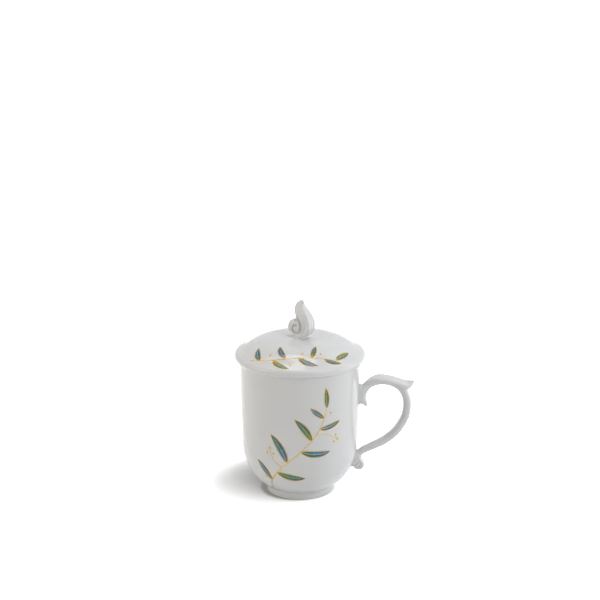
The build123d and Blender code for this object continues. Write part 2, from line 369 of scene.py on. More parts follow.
# Distance that the meshing grid takes for granted outside its array
FAR = 5.0
# Where a bed of slip goes in under the clay above it: how far it reaches up, the stretch over which its skin
# draws back, and the step that keeps two skins apart
SLIP_LAP = 0.12
SLIP_STRETCH = 0.1
SKIN = 0.03


def melt(a, b, run):
    """Union of two forms, with the clay running into the corner between them."""
    mix = np.clip(0.5 + 0.5 * (b - a) / run, 0, 1)
    return b + (a - b) * mix - run * mix * (1 - mix)


def carve(a, b, run):
    """First form with the second cut out, and the edge softened."""
    return -melt(-a, b, run)


def overlap(a, b, edge):
    """What two forms share, with this rounding on the edge between them."""
    a, b = a + edge, b + edge
    return np.hypot(np.maximum(a, 0), np.maximum(b, 0)) + np.minimum(np.maximum(a, b), 0) - edge


def oval(n, y, half_n, half_y, power=2.0):
    """Distance to an oval with these half sizes, squarer with a higher power."""
    k = np.maximum((np.abs(n / half_n) ** power + np.abs(y / half_y) ** power) ** (1 / power), 1e-4)
    slope_n = np.abs(n / (half_n * k)) ** (power - 1) / half_n
    slope_y = np.abs(y / (half_y * k)) ** (power - 1) / half_y
    return (k - 1) / np.hypot(slope_n, slope_y)


def nearest(path, a, b):
    """Distance to a plane path, and the place along it counted in its points."""
    best = np.full(np.broadcast(a, b).shape, np.inf)
    place = np.zeros(best.shape)
    for i, (p, q) in enumerate(zip(path[:-1, :2], path[1:, :2])):
        da, db = q - p
        t = np.clip(((a - p[0]) * da + (b - p[1]) * db) / (da * da + db * db), 0, 1)
        gap = (a - p[0] - t * da) ** 2 + (b - p[1] - t * db) ** 2
        closer = gap < best
        best = np.where(closer, gap, best)
        place = np.where(closer, i + t, place)
    return np.sqrt(best), place


def strap(path, a, b, across, power):
    """Distance to a strap that follows a plane path with columns a, b, half thickness and half width."""
    n, place = nearest(path, a, b)
    half_thick, half_wide = (np.interp(place, np.arange(len(path)), path[:, column]) for column in (2, 3))
    return oval(n, across, half_thick, half_wide, power)


def ramp(value, start, end):
    """Smooth step from 0 at start to 1 at end."""
    t = np.clip((value - start) / (end - start), 0, 1)
    return t * t * (3 - 2 * t)


def largest(points, faces):
    """The largest connected part of a mesh, without crumbs that a grid leaves where a form thins out."""
    label = np.arange(len(points))
    while True:
        lower = label.copy()
        np.minimum.at(lower, faces, label[faces].min(axis=1)[:, None])
        lower = lower[lower]
        if np.array_equal(lower, label):
            break
        label = lower
    faces = faces[label[faces[:, 0]] == np.bincount(label).argmax()]
    used, place = np.unique(faces, return_inverse=True)
    return points[used], place.reshape(faces.shape)


def skinned(field, low, high, step):
    """Points and faces of the skin round a form, meshed on a grid with this step."""
    axes = [np.arange(a, b, step) for a, b in zip(low, high)]
    values = field(*np.meshgrid(*axes, indexing="ij", sparse=True))
    grid = openvdb.FloatGrid(background=FAR)
    grid.copyFromArray(np.ascontiguousarray(values, dtype=np.float32))
    points, faces = grid.convertToQuads(isovalue=0.0)
    points, faces = largest(np.asarray(points), np.asarray(faces))
    return points * step + np.asarray(low), faces.tolist()


# Finishes


def add_node(tree, kind, inputs=None, **options):
    """Add a shader node; an input takes a value, an output, or a node for its first output."""
    node = tree.nodes.new("ShaderNode" + kind)
    for key, value in options.items():
        setattr(node, key, value)
    for key, value in (inputs or {}).items():
        if isinstance(value, bpy.types.Node):
            value = next(output for output in value.outputs if output.enabled)
        if isinstance(value, bpy.types.NodeSocket):
            tree.links.new(value, node.inputs[key])
        else:
            node.inputs[key].default_value = value
    return node


def finish(build):
    """Turn a function that adds a surface's nodes into one that makes the material of its name, once."""

    @functools.wraps(build)
    def finished():
        material = bpy.data.materials.get(build.__name__)
        if not material:
            material = bpy.data.materials.new(build.__name__)
            material.use_nodes = True
            material.node_tree.nodes.clear()
            add = functools.partial(add_node, material.node_tree)
            add("OutputMaterial", {"Surface": build(add)})
        return material

    return finished


def rgba(colour_value):
    """Colour with full opacity."""
    return (*colour_value, 1.0)


def looked_at(add):
    """Node that is 1 for a ray from the camera, a reflection or a refraction, else 0."""
    ray = add("LightPath").outputs
    seen = add("Math", {0: ray["Is Camera Ray"], 1: ray["Is Transmission Ray"]}, operation="MAXIMUM")
    return add("Math", {0: seen, 1: ray["Is Glossy Ray"]}, operation="MAXIMUM")


@finish
def glazed_porcelain(add):
    """Slip-cast white porcelain under a clear glaze, glossy from the kiln.

    It gives a sharp clear reflection over a soft milky body, a slow wave in the reflections where the glaze
    ran, faint clouds of cooler tone, and a cooler tint where the glaze gathers in hollows.
    """
    look = settings("mug_finish")
    spot = add("TexCoord").outputs["Object"]
    clouds = add("TexNoise", {"Vector": spot, "Scale": 1 / (look.clouding * MM), "Detail": 3.0})
    bend = add("NewGeometry").outputs["Pointiness"]
    hollows = add("MapRange", {"Value": bend, "From Min": 0.5, "From Max": 0.44, "To Max": 0.7})
    tone = add("Math", {0: clouds, 1: hollows}, operation="MAXIMUM")
    body = add("Mix", {"Factor": tone, "A": rgba(look.porcelain), "B": rgba(look.porcelain_cool)},
               data_type="RGBA")
    wave = add("TexNoise", {"Vector": spot, "Scale": 1 / (look.glaze_wave * MM), "Detail": 1.0})
    dimple = add("Bump", {"Height": wave, "Strength": 0.25, "Distance": 0.06 * MM})
    gloss = add("MapRange",
                {"Value": clouds, "From Min": 0.3, "From Max": 0.7, "To Min": 0.05, "To Max": 0.09})
    return add("BsdfPrincipled", {
        "Base Color": body, "Roughness": gloss, "Normal": dimple, "IOR": 1.4, "Subsurface Weight": 0.3,
        "Subsurface Radius": (1.0, 0.9, 0.8), "Subsurface Scale": look.glow_depth * MM,
    })


@finish
def biscuit_porcelain(add):
    """Bare fired porcelain of the foot ring, wiped clean of glaze: matt, slightly warm, with a fine tooth."""
    look = settings("mug_finish")
    spot = add("TexCoord").outputs["Object"]
    tooth = add("TexNoise", {"Vector": spot, "Scale": 1 / (look.tooth * MM), "Detail": 4.0})
    body = add("Mix", {"Factor": tooth, "A": rgba(look.biscuit), "B": rgba(look.porcelain)}, data_type="RGBA")
    bump = add("Bump", {"Height": tooth, "Strength": 0.4, "Distance": 0.05 * MM})
    return add("BsdfPrincipled", {"Base Color": body, "Roughness": 0.7, "Normal": bump})


@finish
def overglaze_enamel(add):
    """Enamel painted over the glaze with a soft brush and fired: glassy, thin, and streaked by the hairs.

    It gives the eye a wash that runs from dark to watery, darker side veins and fine streaks along the leaf.
    The streaks and veins are drawn at about twice their real spacing, so that they show in the render.
    """
    look = settings("mug_finish")
    wash = add("Attribute", attribute_name="wash")
    place = add("Attribute", attribute_name="leaf_place").outputs["Vector"]
    stretch = add("VectorMath", {0: place, 1: (0.12, 1.0, 1.0)}, operation="MULTIPLY")
    streaks = add("TexNoise", {"Vector": stretch, "Scale": 1 / look.streak, "Detail": 3.0})
    pools = add("TexNoise", {"Vector": place, "Scale": 1 / look.pool, "Detail": 2.0})
    split = add("SeparateXYZ", {0: place}).outputs
    side = add("Math", {0: split["Y"]}, operation="ABSOLUTE")
    slant = add("Math", {0: side, 1: -1.3, 2: split["X"]}, operation="MULTIPLY_ADD")
    turns = add("Math", {0: slant, 1: 2 * math.pi / look.vein}, operation="MULTIPLY")
    ripple = add("Math", {0: turns}, operation="SINE")
    veins = add("MapRange", {"Value": ripple, "From Min": 0.75, "From Max": 1.0, "To Max": 0.35})
    thin = add("MapRange", {"Value": streaks, "From Min": 0.55, "From Max": 0.8, "To Max": 0.45})
    watery = add("Mix", {"Factor": thin, "A": wash, "B": rgba(look.mist)}, data_type="RGBA")
    dark = add("MapRange", {"Value": pools, "From Min": 0.45, "From Max": 0.7, "To Max": 0.45})
    darker = add("Math", {0: dark, 1: veins}, operation="MAXIMUM")
    tone = add("Mix", {"Factor": darker, "A": watery, "B": rgba(look.deep)}, data_type="RGBA")
    bump = add("Bump", {"Height": streaks, "Strength": 0.3, "Distance": 0.03 * MM})
    gloss = add("MapRange", {"Value": streaks, "To Min": 0.1, "To Max": 0.28})
    return add("BsdfPrincipled", {"Base Color": tone, "Roughness": gloss, "Normal": bump, "IOR": 1.5})


@finish
def burnished_gold(add):
    """Liquid gold, fired and rubbed with agate: warm, bright, and a little uneven from the brush."""
    look = settings("mug_finish")
    spot = add("TexCoord").outputs["Object"]
    patches = add("TexNoise", {"Vector": spot, "Scale": 1 / (look.gold_patch * MM), "Detail": 2.0})
    tone = add("Mix", {"Factor": patches, "A": rgba(look.gold), "B": rgba(look.gold_light)}, data_type="RGBA")
    rubbed = add("MapRange",
                 {"Value": patches, "From Min": 0.3, "From Max": 0.7, "To Min": 0.18, "To Max": 0.36})
    return add("BsdfPrincipled", {"Base Color": tone, "Metallic": 1.0, "Roughness": rubbed})


@finish
def white_table(add):
    """White laminate of a studio table: matt, bright, and clear of everything but the mug's own shadow.

    Seen directly or in a reflection it is burnt out to plain white away from the mug. Where it is looked at,
    its colour carries a painted shadow: two ambient occlusion shares darken it, a soft one that leans to the
    light and a short one at the foot; the soft one fades out on the mug's right, and the shadow has a darkest
    limit.
    """
    stage = settings("mug_stage")
    to_light, to_foot = (0.42, -0.88, 0.22), (0.5, -0.3, 0.81)
    spot = add("TexCoord").outputs["Object"]
    grain = add("TexNoise", {"Vector": spot, "Scale": 1 / (stage.table_grain * MM)})
    bump = add("Bump", {"Height": grain, "Strength": 0.05, "Distance": 0.1 * MM})
    seen = looked_at(add)
    # Painted shadow: two ambient occlusion shares, not the lamps, darken the table's colour where it is
    # looked at
    soft, short = (
        add("AmbientOcclusion", {"Distance": reach * MM, "Normal": add("CombineXYZ", dict(zip("XYZ", lean)))},
            samples=16).outputs["AO"]
        for lean, reach in ((to_light, stage.contact_reach), (to_foot, stage.foot_reach))
    )
    # The soft painted shadow fades out towards the mug's right, set by place across the table, not by light
    wash = stage.wash_reach * MM
    across = add("SeparateXYZ", {0: spot}).outputs["X"]
    painted_shadow_fade = add("MapRange", {"Value": across, "From Min": -wash, "From Max": wash},
                 interpolation_type="SMOOTHSTEP")
    soft = add("Mix", {"Factor": painted_shadow_fade, "A": soft, "B": 1.0})
    # Painted shadow tone: both shares, deepened and held at its darkest limit; it is the seen colour and the
    # glow's colour
    both = add("Math", {0: soft, 1: short}, operation="MULTIPLY")
    deep = add("Math", {0: both, 1: stage.contact_depth}, operation="POWER")
    painted_shadow_tone = add("Math", {0: deep, 1: stage.corner_light}, operation="MAXIMUM")
    tone = add("Mix", {"Factor": seen, "A": rgba(stage.table_colour), "B": painted_shadow_tone}, data_type="RGBA")
    matt = add("BsdfDiffuse", {"Color": tone, "Normal": bump})
    away = add("VectorMath", {0: spot}, operation="LENGTH")
    reach = stage.shadow_reach * MM
    far = add("MapRange",
              {"Value": away, "From Min": reach, "From Max": 2 * reach, "To Min": stage.table_glow},
              interpolation_type="SMOOTHSTEP")
    strength = add("Math", {0: far, 1: seen}, operation="MULTIPLY")
    glow = add("Emission", {"Color": painted_shadow_tone, "Strength": strength})
    return add("AddShader", {0: matt, 1: glow})


# Operators


def cup_lines(cup):
    """Outside of the cup from foot to lip, and inside from lip to floor, as rows of radius and height."""
    lip_start = CUP_TOP - cup.lip_height
    up = np.array([cup.mouth_radius - cup.bowl_radius, lip_start - cup.bowl_height])
    up /= np.linalg.norm(up)
    out = np.array([math.cos(cup.bowl_angle), math.sin(cup.bowl_angle)])

    def side(start, inset):
        """Line from its start at the foot up to the lip, this far in from the outside."""
        bowl_top = np.array([cup.bowl_radius - inset, cup.bowl_height])
        wall_top = np.array([cup.mouth_radius - inset, lip_start])
        lip = np.array([cup.mouth_radius + cup.lip_flare - inset, CUP_TOP])
        bowl = bezier(start, start + out * cup.bowl_foot_pull, bowl_top - up * cup.bowl_wall_pull, bowl_top)
        wall = np.linspace(bowl_top, wall_top, 12)[1:]
        pull = up * cup.lip_pull
        flare = bezier(wall_top, wall_top + pull, (wall_top + lip + pull) / 2, lip, 8)[1:]
        return np.vstack([bowl, wall, flare])

    notch = np.array([cup.foot_radius, cup.foot_height])
    floor_edge = np.array([cup.foot_radius - out[1] * cup.wall, cup.foot_recess + cup.floor])
    return side(notch, 0), side(floor_edge, cup.wall)[::-1]


class MUG_OT_cup(bpy.types.Operator):
    """Turn the cup with its foot ring, bowl, wall and lip"""

    bl_idname = "mug.cup"
    bl_label = "Cup"

    def execute(self, context):
        cup = settings("mug_cup")
        outside, inside = cup_lines(cup)
        ring = cup.foot_radius - cup.foot_ring
        corners = [(0, cup.foot_recess, 0), (ring, cup.foot_recess, cup.inner_round),
                   (ring, 0, cup.foot_round), (cup.foot_radius, 0, cup.foot_round),
                   (*outside[0], cup.foot_fillet)]
        corners += unrounded(outside[1:-1])
        corners += [(*outside[-1], cup.lip_round), (*inside[0], cup.lip_round)]
        corners += unrounded(inside[1:-1])
        corners += [(*inside[-1], cup.inner_round), (0, cup.foot_recess + cup.floor, 0)]
        points, faces = revolved(rounded(corners))
        place_piece("cup_body", points, faces, [glazed_porcelain(), biscuit_porcelain()], "cup",
                    ["cup"], lambda centre: int(centre.z < cup.bare_height))
        return {"FINISHED"}


def lid_corners(lid):
    """Top of the lid from the axis out to the edge's rounding, as corners for rounded()."""
    rim_radius = lid.radius - lid.edge_round * (1 - math.sin(lid.rim_slope))
    rim = CUP_TOP + lid.edge_height + lid.edge_round * math.cos(lid.rim_slope)
    valley_radius = rim_radius - lid.rim_width
    valley = rim + lid.rim_width * math.tan(lid.rim_slope)
    shoulder = valley_radius - (LID_TOP - valley) / math.tan(lid.flank_angle)
    return [(0, LID_TOP, 0), (shoulder, LID_TOP, lid.dome_round), (valley_radius, valley, lid.valley_round),
            (rim_radius, rim, 0)]


def lid_top_line(lid):
    """Top of the lid from the axis out to the edge's rounding, as rows of radius and height."""
    return rounded(lid_corners(lid), steps=24)


class MUG_OT_lid(bpy.types.Operator):
    """Turn the domed lid with its rolled edge and its flange"""

    bl_idname = "mug.lid"
    bl_label = "Lid"

    def execute(self, context):
        lid = settings("mug_lid")
        edge = CUP_TOP + lid.edge_height
        over = np.linspace(math.pi / 2 - lid.rim_slope, 0, 14)
        roll = np.stack([lid.radius + lid.edge_round * (np.cos(over) - 1),
                         edge + lid.edge_round * np.sin(over)], 1)
        below = np.linspace(0, -math.pi / 2, 15)
        under = np.stack([lid.seat_radius + (lid.radius - lid.seat_radius) * np.cos(below),
                          edge + lid.edge_height * np.sin(below)], 1)
        inner = lid.flange_radius - lid.flange_wall
        low = CUP_TOP - lid.flange_depth
        ceiling = LID_TOP - lid.wall
        under_radius = lid_corners(lid)[1][0] - lid.wall * math.tan(lid.flank_angle / 2)
        drop = (inner - under_radius) * math.tan(lid.flank_angle)
        inside = rounded([
            (*under[-1], 0), (lid.flange_radius, CUP_TOP, lid.seat_fillet),
            (lid.flange_radius, low, lid.flange_round), (inner, low, lid.flange_round),
            (inner, ceiling - drop, lid.flange_fillet),
            (under_radius, ceiling, lid.under_round), (0, ceiling, 0),
        ])
        points, faces = revolved(np.vstack([lid_top_line(lid), roll[1:], under[1:], inside[1:]]))
        place_piece("lid_body", points, faces, [glazed_porcelain()], "lid", ["lid"])
        return {"FINISHED"}


class Sprig:
    """Enamel leaves and gold lines on one surface, placed along and up it in millimetres."""

    # Points along a leaf and a berry, where a leaf's direction is true, and where its rib ends before the tip
    LEAF_POINTS = 26
    BERRY_POINTS = 9
    TRUE_PLACE = 0.35
    RIB_END = -4
    # Places across the underside of a line of paint, as shares of its half width
    UNDERSIDE = [0.6, 0.0, -0.6]
    # Step between leaves in the pattern of streaks, so that no two are alike
    LEAF_STEP = 7.0

    def __init__(self, line, middle, along_line):
        """Take the surface's turned line, the radius at which widths are true, and the place up the line."""
        self.line, self.middle, self.along_line = line, middle, along_line
        step = np.gradient(line, axis=0)
        step /= np.linalg.norm(step, axis=1)[:, None]
        self.out = np.stack([step[:, 1], -step[:, 0]], 1)
        self.look = settings("mug_finish")
        self.enamel, self.gold = [], []
        self.washes, self.places = [], []

    def wrap(self, flat, lift):
        """Points in space for flat places with a lift over the surface."""
        radius, height, out_r, out_z = (
            np.interp(flat[..., 1], self.along_line, column) for column in (*self.line.T, *self.out.T)
        )
        angle = flat[..., 0] / self.middle
        radius = radius + lift * out_r
        return np.stack([radius * np.sin(angle), -radius * np.cos(angle), height + lift * out_z], -1)

    def laid(self, path, half, lift, closed=False, across=9):
        """Stations round a line of paint: domed on top, sunk a little into the glaze below."""
        step = np.roll(path, -1, 0) - np.roll(path, 1, 0) if closed else np.gradient(path, axis=0)
        step /= np.linalg.norm(step, axis=1)[:, None]
        side = np.stack([-step[:, 1], step[:, 0]], 1)
        u = np.concatenate([np.linspace(-1, 1, across), self.UNDERSIDE])
        top = np.arange(len(u)) < across
        half, lift = np.broadcast_to(half, len(path)), np.broadcast_to(lift, len(path))
        rise = np.where(top, (1 - u ** 4) * (lift[:, None] + self.look.paint_sink), 0) - self.look.paint_sink
        flat = path[:, None] + side[:, None] * (half[:, None] * u)[..., None]
        return flat, rise, u

    @staticmethod
    def swept(store, points, closed=False):
        """Add the skin round a row of stations to a store."""
        rows, ring = points.shape[:2]
        start = sum(len(p) for p, _ in store)
        index = start + np.arange(rows * ring).reshape(rows, ring)
        after = np.roll(index, -1, 0) if closed else index[1:]
        here = index if closed else index[:-1]
        quads = np.stack([here, after, np.roll(after, -1, 1), np.roll(here, -1, 1)], -1)
        faces = quads.reshape(-1, 4).tolist()
        if not closed:
            faces += [index[0].tolist(), index[-1][::-1].tolist()]
        store.append((points.reshape(-1, 3), faces))

    def line_of_gold(self, path, width, closed=False):
        """Gold line of this width, which may change along the path."""
        flat, rise, _ = self.laid(path, np.asarray(width) / 2, self.look.gold_lift, closed, 5)
        self.swept(self.gold, self.wrap(flat, rise), closed)

    def twig(self, places, width, tip):
        """Gold stem through the places, tapering from its width to its tip."""
        path = curve(places)
        self.line_of_gold(path, np.linspace(width, tip, len(path)))

    def berry(self, place, width):
        """Round domed drop of gold, three times as high as a line."""
        t = np.linspace(-0.995, 0.995, self.BERRY_POINTS)
        path = np.asarray(place) + np.stack([t * width / 2, 0 * t], 1)
        round_off = np.sqrt(1 - t ** 2)
        flat, rise, _ = self.laid(path, round_off * width / 2, round_off * 3 * self.look.gold_lift)
        self.swept(self.gold, self.wrap(flat, rise))

    def wash(self, t, u, names):
        """Colours of a leaf: from the first wash to the second, deeper on one side and at the foot."""
        first, second = (np.array(getattr(self.look, name)) for name in names)
        run = ramp(t[:, None] + 0.15 * u, 0.1, 0.85)[..., None]
        shade = 0.5 * ramp(u, 0.15, -0.1)[None, :, None] + 0.25 * ramp(t, 0.3, 0.0)[:, None, None]
        return (first * (1 - run) + second * run) * (1 - shade) + np.array(self.look.deep) * shade

    def leaf(self, foot, direction, length, width, bend, washes):
        """Pointed leaf from its foot, bending on its way, with a gold outline and rib."""
        t = np.linspace(0, 1, self.LEAF_POINTS)
        heading = np.radians(direction + bend * (t - self.TRUE_PLACE))
        steps = np.stack([np.cos(heading), np.sin(heading)], 1) * length / (len(t) - 1)
        rib = np.asarray(foot) + np.vstack([[0, 0], np.cumsum(steps[:-1], axis=0)])
        # Widest just before the middle, pointed at both ends, and never without any width
        half = width / 2 * np.maximum(2.05 * t ** 0.75 * (1 - t) ** 0.85, 0.03)
        flat, rise, u = self.laid(rib, half, self.look.enamel_lift)
        self.swept(self.enamel, self.wrap(flat, rise))
        self.washes.append(self.wash(t, u, washes).reshape(-1, 3))
        layer = self.LEAF_STEP * len(self.washes)
        place = np.stack(np.broadcast_arrays((t * length)[:, None], half[:, None] * u, layer), -1)
        self.places.append(place.reshape(-1, 3))
        side = np.stack([-np.sin(heading), np.cos(heading)], 1) * half[:, None]
        self.line_of_gold(np.vstack([rib - side, (rib + side)[-2:0:-1]]), self.look.outline, closed=True)
        self.line_of_gold(rib[:self.RIB_END], self.look.outline * (0.9 - 0.5 * t[:self.RIB_END]))

    def paint(self, leaves, stem, stem_width, twigs, berries):
        """Lay down the leaves, the stem, its twigs and the berries."""
        look = self.look
        for leaf in leaves:
            self.leaf(*leaf)
        self.twig(stem, stem_width, look.outline)
        for places in twigs:
            self.twig(places, look.outline, 0.7 * look.outline)
        for place, share in berries:
            self.berry(place, share * look.berry)

    def place(self, name, body):
        """Make the two pieces: leaves with their washes, and gold."""
        for store, suffix, material in ((self.enamel, "leaves", overglaze_enamel()),
                                        (self.gold, "gold", burnished_gold())):
            points = np.vstack([p for p, _ in store])
            faces = [face for _, group in store for face in group]
            piece = place_piece(f"{name}_{suffix}", points, faces, [material], body)
            if suffix == "leaves":
                if len(piece.data.vertices) != len(points):
                    raise RuntimeError(name + " lost points of its leaves")
                wash = piece.data.attributes.new("wash", "FLOAT_COLOR", "POINT")
                wash.data.foreach_set("color", np.insert(np.vstack(self.washes), 3, 1, axis=1).ravel())
                place = piece.data.attributes.new("leaf_place", "FLOAT_VECTOR", "POINT")
                place.data.foreach_set("vector", np.vstack(self.places).ravel())


class MUG_OT_cup_sprig(bpy.types.Operator):
    """Paint the sprig on the front of the cup"""

    bl_idname = "mug.cup_sprig"
    bl_label = "Sprig on the cup"

    # Radius at which widths are true
    RADIUS = 39.0
    # Foot of each leaf, its direction in degrees, length, width, bend in degrees and washes
    LEAVES = [
        ((-21.4, 17.5), 124, 17.0, 6.6, 26, ("teal", "blue")),
        ((-16.0, 24.6), -14, 20.5, 7.2, 32, ("green", "teal")),
        ((-8.6, 32.4), 118, 22.0, 7.8, 24, ("blue", "teal")),
        ((0.6, 40.4), -8, 20.5, 7.0, 36, ("teal", "blue")),
        ((7.8, 47.8), 124, 19.0, 6.8, 22, ("green", "teal")),
        ((13.0, 55.6), 10, 15.5, 5.6, 28, ("blue", "teal")),
        ((16.2, 62.8), 142, 12.5, 4.8, -14, ("teal", "blue")),
        ((17.6, 69.5), 92, 14.0, 5.0, 12, ("teal", "green")),
    ]
    STEM = [(-26.5, 8.5), (-21.4, 17.5), (-12.4, 28.6), (0.6, 40.4), (10.6, 51.6), (16.2, 62.8), (17.6, 69.5)]
    TWIGS = [
        [(-12.4, 28.6), (-18.0, 33.5), (-20.6, 40.0)],
        [(10.6, 51.6), (18.5, 51.0), (25.4, 47.4)],
    ]
    # Place of each berry, and its width as a share of the full width
    BERRIES = [
        ((-21.0, 41.2), 1.0), ((-23.0, 37.8), 0.85), ((-18.2, 37.8), 0.8), ((26.6, 46.6), 1.0),
        ((23.6, 45.4), 0.8), ((24.8, 49.8), 0.85), ((-26.4, 19.4), 0.75), ((20.6, 66.0), 0.75),
    ]

    def execute(self, context):
        outside = cup_lines(settings("mug_cup"))[0]
        sprig = Sprig(outside, self.RADIUS, outside[:, 1])
        sprig.paint(self.LEAVES, self.STEM, sprig.look.stem, self.TWIGS, self.BERRIES)
        sprig.place("cup_sprig", "cup")
        return {"FINISHED"}


class MUG_OT_lid_sprig(bpy.types.Operator):
    """Paint the small sprig on the flank of the lid"""

    bl_idname = "mug.lid_sprig"
    bl_label = "Sprig on the lid"

    # The same columns as on the cup, with places up the lid counted in from the rim
    RADIUS = 30.0
    LEAVES = [
        ((-22.5, 3.6), 146, 12.0, 4.8, -18, ("teal", "blue")),
        ((-15.5, 6.0), -30, 11.5, 4.6, 24, ("green", "teal")),
        ((-8.5, 8.0), 134, 13.5, 5.2, -16, ("blue", "teal")),
        ((-1.0, 9.0), -34, 12.0, 4.8, 26, ("teal", "blue")),
        ((7.0, 8.8), 58, 13.0, 5.0, -20, ("green", "teal")),
        ((14.0, 7.2), -40, 10.0, 4.4, 24, ("blue", "teal")),
        ((20.5, 4.8), 8, 12.5, 4.6, -20, ("teal", "green")),
    ]
    STEM = [(-28.0, 1.4), (-15.5, 6.0), (-1.0, 9.0), (10.5, 8.2), (20.5, 4.8)]
    BERRIES = [((-18.8, 9.0), 0.8), ((-5.0, 4.0), 0.75), ((1.6, 12.8), 0.8), ((13.6, 11.2), 0.75)]

    def execute(self, context):
        top = lid_top_line(settings("mug_lid"))[::-1]
        sprig = Sprig(top, self.RADIUS, top[0, 0] - top[:, 0])
        sprig.paint(self.LEAVES, self.STEM, 0.8 * sprig.look.stem, [], self.BERRIES)
        sprig.place("lid_sprig", "lid")
        return {"FINISHED"}


class HandleClay:
    """The handle's clay as a distance field, run into the cup's outside at its two roots."""

    # Strap from the curl under the upper root over the bow to the scroll: out and down as shares of the
    # reach and of the span of the roots, then half thickness and half width in millimetres
    STRAP = [
        (0.14, 0.145, 1.2, 3.5), (0.085, 0.04, 1.9, 3.9), (0.105, -0.07, 2.4, 4.0), (0.215, -0.167, 2.5, 4.0),
        (0.43, -0.217, 2.5, 4.4), (0.66, -0.198, 2.5, 4.6), (0.86, -0.115, 2.6, 4.6), (0.98, 0.03, 2.7, 4.3),
        (1.0, 0.2, 2.7, 4.0), (0.945, 0.37, 2.65, 4.0), (0.78, 0.557, 2.55, 3.95), (0.552, 0.7, 2.4, 3.8),
        (0.276, 0.8, 2.15, 3.6), (0.076, 0.87, 2.0, 3.45), (0.0, 0.95, 1.9, 3.35), (0.0, 1.07, 1.9, 3.3),
    ]
    # Leaf for the thumb: its root, out and down like the strap, then place along, rise, thickness and width
    # as shares of its own sizes
    LEAF_ROOT = (0.215, -0.18)
    LEAF = [
        (0.0, 0.2, 0.7, 0.72), (0.11, 0.85, 0.95, 0.9), (0.27, 1.1, 1.0, 0.98), (0.5, 0.67, 1.05, 1.0),
        (0.68, 0.05, 1.3, 0.98), (0.82, -0.5, 1.65, 0.88), (0.92, -0.22, 1.2, 0.68), (0.985, 0.2, 0.5, 0.36),
    ]
    # How square the sections of strap and leaf are, and how far before the leaf's tip the flutes start and
    # are full
    STRAP_POWER, LEAF_POWER = 2.8, 3.0
    FLUTE_START, FLUTE_FULL = 13.0, 3.0
    # Roots: half width, half height and corner, and how far out the upper one ends as a share of the reach
    UPPER_ROOT = (4.2, 6.2, 3.0)
    LOWER_ROOT = (3.5, 5.2, 2.6)
    UPPER_END = 0.085
    # Groove between the strap's end and the eye of the scroll, from the scroll's middle, and the softness of
    # the scroll's and the groove's edges
    GROOVE = [
        (-1.3, 5.2), (-0.6, 3.8), (0.3, 2.5), (0.95, 1.0), (0.75, -0.7), (-0.5, -1.6), (-1.9, -1.2),
        (-2.4, 0.1), (-1.9, 1.3), (-0.9, 1.5),
    ]
    SCROLL_RUN, GROOVE_RUN = 0.9, 0.6

    def __init__(self):
        self.size = h = settings("mug_handle")
        self.strap = curve([(*self.grip_point(out, down), *halves) for out, down, *halves in self.STRAP])
        root_x, root_z = self.grip_point(*self.LEAF_ROOT)
        self.leaf = curve([(root_x + along * h.leaf_length, root_z + rise * h.leaf_rise,
                            thick * h.leaf_thickness / 2, wide * h.leaf_width / 2)
                           for along, rise, thick, wide in self.LEAF])
        self.scroll = self.strap[-1, :2]
        self.groove = curve(self.scroll + self.GROOVE)
        self.line = cup_lines(settings("mug_cup"))[0]
        step = np.gradient(self.line, axis=0)
        self.slope = step[:, 1] / np.hypot(step[:, 0], step[:, 1])

    def grip_point(self, out, down):
        """Point beside the cup, from shares of the reach and of the span of the roots."""
        h = self.size
        return h.line_radius + out * h.reach, h.top_root - down * (h.top_root - h.low_root)

    def to_cup(self, x, y, z):
        """Distance out from the cup's outside."""
        radius, slope = (np.interp(z, self.line[:, 1], column) for column in (self.line[:, 0], self.slope))
        return (np.hypot(x, y) - radius) * slope

    def clay(self, x, y, z):
        """Handle with its roots run into the cup."""
        h = self.size
        form = strap(self.strap, x, z, y, self.STRAP_POWER)
        leaf = strap(self.leaf, x, z, y, self.LEAF_POWER)
        tip = self.leaf[-1, 0]
        fluted = ramp(x, tip - self.FLUTE_START, tip - self.FLUTE_FULL)
        leaf = leaf + h.flute_depth * fluted * 0.5 * (1 + fluted * np.cos(2 * math.pi * y / h.flute_spacing))
        form = melt(form, leaf, h.clay_run)
        upper_end = self.grip_point(self.UPPER_END, 0)[0]
        for (wide, tall, corner), middle, end in ((self.UPPER_ROOT, h.top_root, upper_end),
                                                  (self.LOWER_ROOT, h.low_root, self.scroll[0])):
            root = overlap(np.abs(y) - wide, np.abs(z - middle) - tall, corner)
            form = melt(form, np.maximum(root, x - end), h.clay_run)
        around = np.hypot(x - self.scroll[0], z - self.scroll[1])
        from_side = np.abs(y) - h.scroll_width / 2
        form = melt(form, overlap(around - h.scroll_radius, from_side, h.scroll_round), self.SCROLL_RUN)
        beside, _ = nearest(self.groove, x, z)
        form = carve(form, np.hypot(beside, from_side) - h.groove_radius, self.GROOVE_RUN)
        return melt(form, self.to_cup(x, y, z), h.joint_fillet)

    def handle(self, x, y, z):
        """Handle down to the slip bed."""
        return np.maximum(self.clay(x, y, z), self.size.bed - self.to_cup(x, y, z))

    def slip(self, x, y, z):
        """Slip bed under the roots, tucked under the handle's own skin at its top."""
        away, top = self.to_cup(x, y, z), self.size.bed
        bed = self.clay(x, y, z) + 2 * SKIN * ramp(away, top - SLIP_STRETCH, top)
        return np.maximum(np.maximum(bed, away - top - SLIP_LAP), SKIN - away)


class MUG_OT_handle(bpy.types.Operator):
    """Model the scroll handle with its leaf for the thumb"""

    bl_idname = "mug.handle"
    bl_label = "Handle"

    def execute(self, context):
        form = HandleClay()
        low, high = (33, -7, 11), (form.leaf[-1, 0] + 2, 7, 83)
        points, faces = skinned(form.handle, low, high, form.size.grain)
        place_piece("handle_body", points, faces, [glazed_porcelain()], "cup", ["handle"])
        return {"FINISHED"}


